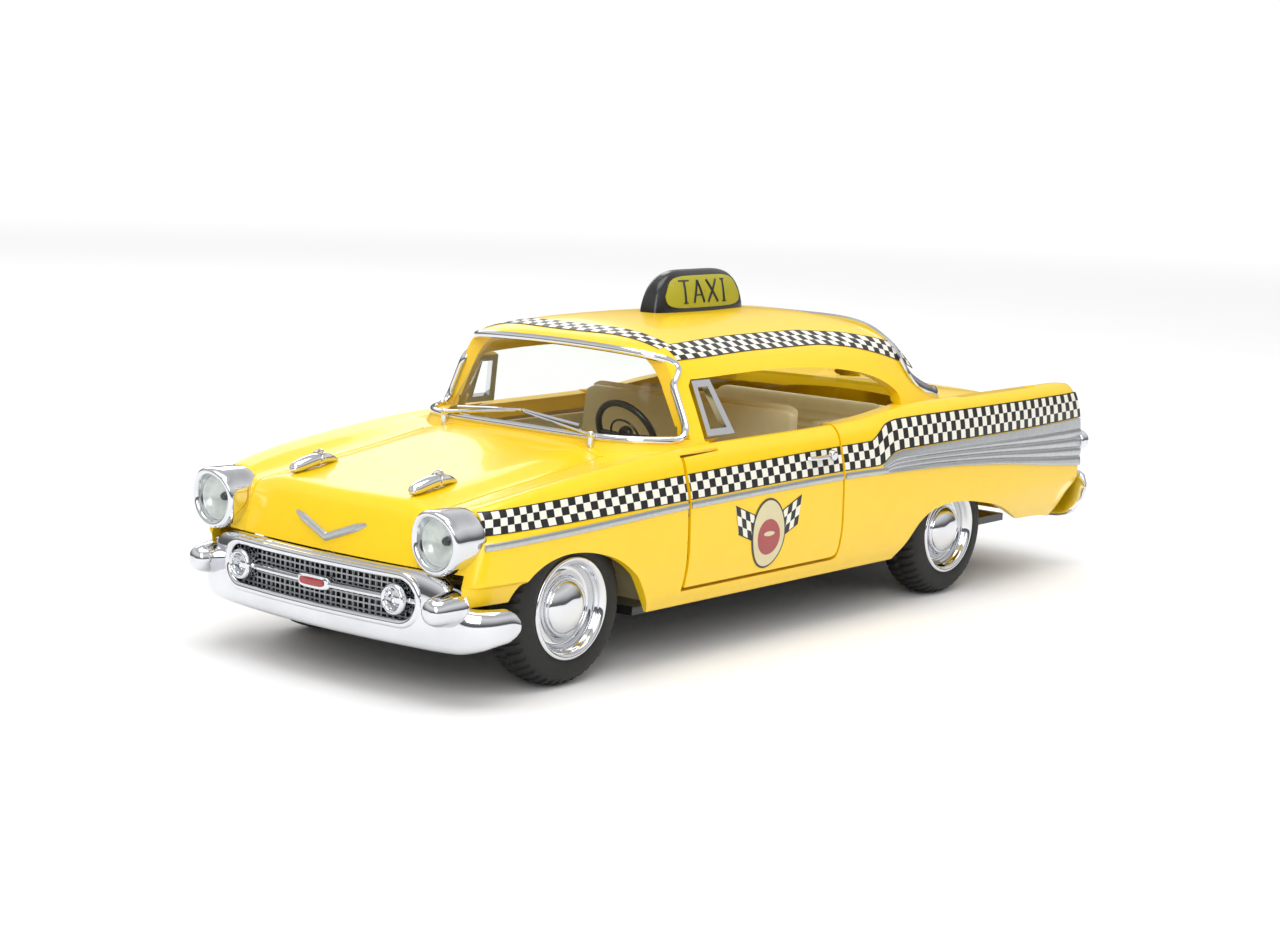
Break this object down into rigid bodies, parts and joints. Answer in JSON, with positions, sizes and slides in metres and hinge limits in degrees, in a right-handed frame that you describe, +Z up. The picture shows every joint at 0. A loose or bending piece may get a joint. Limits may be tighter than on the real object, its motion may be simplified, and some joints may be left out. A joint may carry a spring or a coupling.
{
  "type": "diecast toy taxi",
  "caption": "Small diecast taxi coupe with opening doors, free-rolling wheels and a geared pull-back motor on its rear axle.",
  "frame": {"origin": "bottom centre of the bounding box, on the ground between the axles", "axes": "+X towards the rear bumper, +Y towards the car's right side, +Z up"},
  "size_m": [0.1272, 0.047, 0.042],
  "materials": {
    "paint_yellow": "glossy baked enamel on zinc casting",
    "chrome": "vacuum-plated bright chrome on plastic",
    "grille_black": "black behind a bright cross mesh",
    "clear_plastic": "clear moulded styrene",
    "red_plastic": "translucent red",
    "cream_plastic": "moulded with pleats",
    "black_plastic": "satin moulding",
    "olive_panel": "printed panel",
    "steel": "drawn wire and spring strip",
    "tyre_rubber": "matt black soft vinyl",
    "motor_grey": "moulded gearbox halves",
    "gear_nylon": "natural nylon"
  },
  "bodies": {
    "car": {"body_shell": "paint_yellow", "windshield_frame": "chrome", "rear_window_trim": "chrome", "wiper_left": "chrome", "wiper_right": "chrome", "front_bumper": "chrome", "grille_bar": "chrome", "rear_bumper": "chrome", "headlight_bezel_left": "chrome", "headlight_bezel_right": "chrome", "hood_ornaments": "chrome", "hood_trim": "chrome", "grille_insert": "grille_black", "windshield": "clear_plastic", "rear_window": "clear_plastic", "headlight_lens_left": "clear_plastic", "headlight_lens_right": "clear_plastic", "tail_light_left": "red_plastic", "tail_light_right": "red_plastic", "interior_tub": "cream_plastic", "front_seat": "cream_plastic", "rear_seat": "cream_plastic", "dashboard": "cream_plastic", "steering_wheel": "black_plastic", "sign_housing": "black_plastic", "chassis": "black_plastic", "sign_panel_left": "olive_panel", "sign_panel_right": "olive_panel", "chassis_screws": "steel", "hinge_pin_left": "steel", "hinge_pin_right": "steel", "idler_arbor": "steel", "drum_arbor": "steel", "mainspring": "steel", "motor_case": "motor_grey", "motor_cover": "motor_grey"},
    "door_left": {"door_left": "paint_yellow", "door_handle_left": "chrome", "vent_frame_left": "chrome"},
    "door_right": {"door_right": "paint_yellow", "door_handle_right": "chrome", "vent_frame_right": "chrome"},
    "front_wheels": {"front_axle": "steel", "tyre_front_left": "tyre_rubber", "tyre_front_right": "tyre_rubber", "rim_front_left": "chrome", "rim_front_right": "chrome"},
    "rear_wheels": {"rear_axle": "steel", "tyre_rear_left": "tyre_rubber", "tyre_rear_right": "tyre_rubber", "rim_rear_left": "chrome", "rim_rear_right": "chrome", "axle_pinion": "gear_nylon"},
    "idler": {"idler_gear": "gear_nylon"},
    "drum": {"spring_drum": "gear_nylon"}
  },
  "joints": [
    {"name": "door_left_hinge", "type": "hinge", "parent": "car", "child": "door_left", "pos_m": [-0.0261, -0.0215, 0.014], "axis": [0, 0, -1], "range_deg": [0, 58]},
    {"name": "door_right_hinge", "type": "hinge", "parent": "car", "child": "door_right", "pos_m": [-0.0261, 0.0215, 0.014], "axis": [0, 0, 1], "range_deg": [0, 58]},
    {"name": "front_wheels_spin", "type": "hinge", "parent": "car", "child": "front_wheels", "pos_m": [-0.0443, 0, 0.0086], "axis": [0, 1, 0], "continuous": true},
    {"name": "rear_wheels_spin", "type": "hinge", "parent": "car", "child": "rear_wheels", "pos_m": [0.0295, 0, 0.0086], "axis": [0, 1, 0], "continuous": true},
    {"name": "idler_spin", "type": "hinge", "parent": "car", "child": "idler", "pos_m": [0.02281, 0, 0.0098], "axis": [0, 1, 0], "continuous": true},
    {"name": "drum_spin", "type": "hinge", "parent": "car", "child": "drum", "pos_m": [0.01601, 0, 0.0098], "axis": [0, 1, 0], "continuous": true}
  ],
  "couplings": [
    {"joint": "idler_spin", "follows": "rear_wheels_spin", "ratio": -0.41667},
    {"joint": "drum_spin", "follows": "rear_wheels_spin", "ratio": 0.17361}
  ]
}
